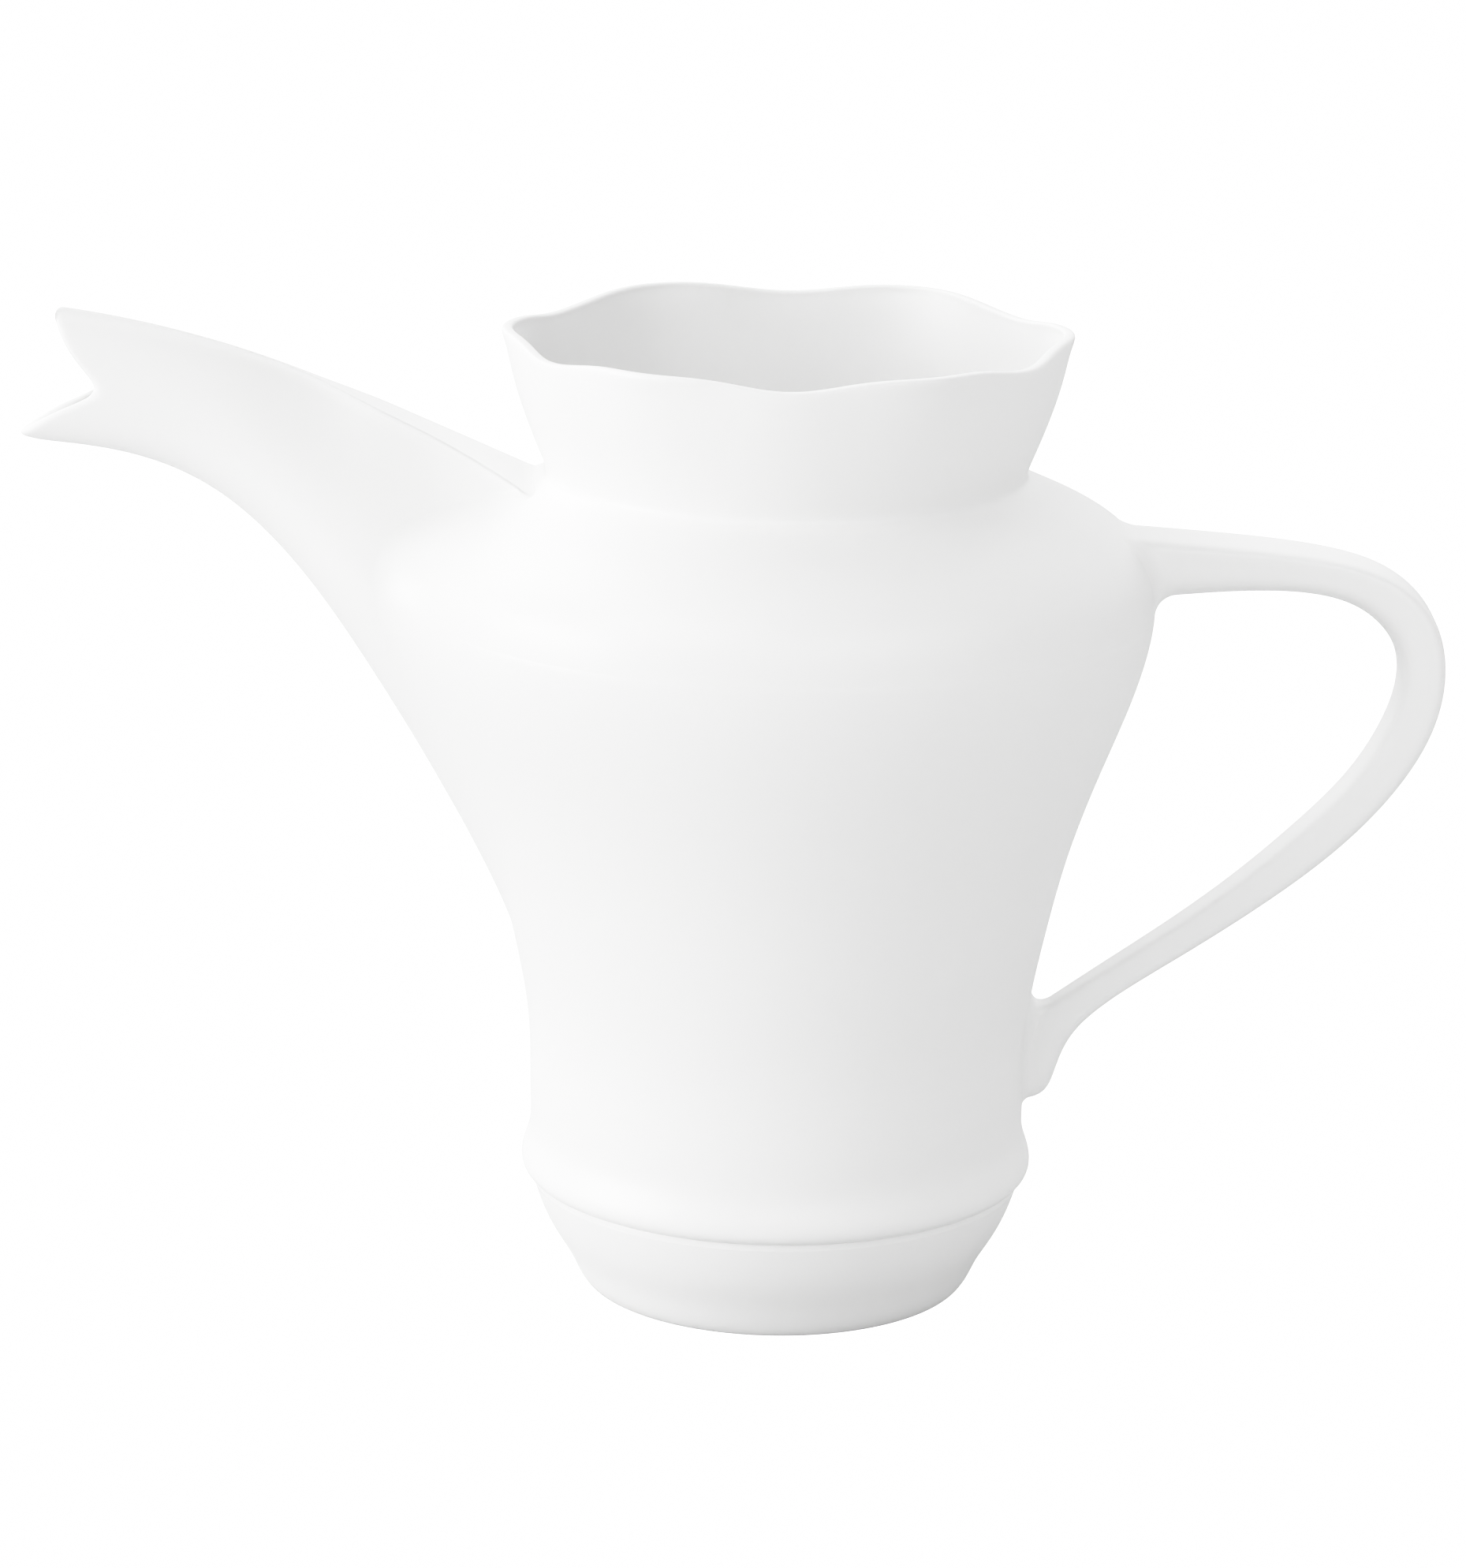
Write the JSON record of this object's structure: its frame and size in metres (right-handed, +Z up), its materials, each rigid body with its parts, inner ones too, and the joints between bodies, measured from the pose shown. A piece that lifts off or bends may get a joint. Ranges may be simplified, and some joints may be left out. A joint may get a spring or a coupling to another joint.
{
  "type": "coffee pot",
  "caption": "Open white porcelain coffee pot: flared lobed rim, long beak spout with a swallow-tail mouth, loop handle and turned foot.",
  "frame": {"origin": "on the vessel's axis, in the plane that the pot stands on", "axes": "+Z up, spout towards -X, handle towards +X, mirror plane at Y = 0"},
  "size_m": [0.2442, 0.1268, 0.171],
  "materials": {
    "glazed_porcelain": "clear gloss glaze over white porcelain"
  },
  "bodies": {
    "root": {"body": "glazed_porcelain", "foot": "glazed_porcelain", "foot_slip_joint": "glazed_porcelain", "spout": "glazed_porcelain", "spout_slip_joint": "glazed_porcelain", "handle": "glazed_porcelain", "handle_top_slip_joint": "glazed_porcelain", "handle_bottom_slip_joint": "glazed_porcelain"}
  },
  "joints": []
}
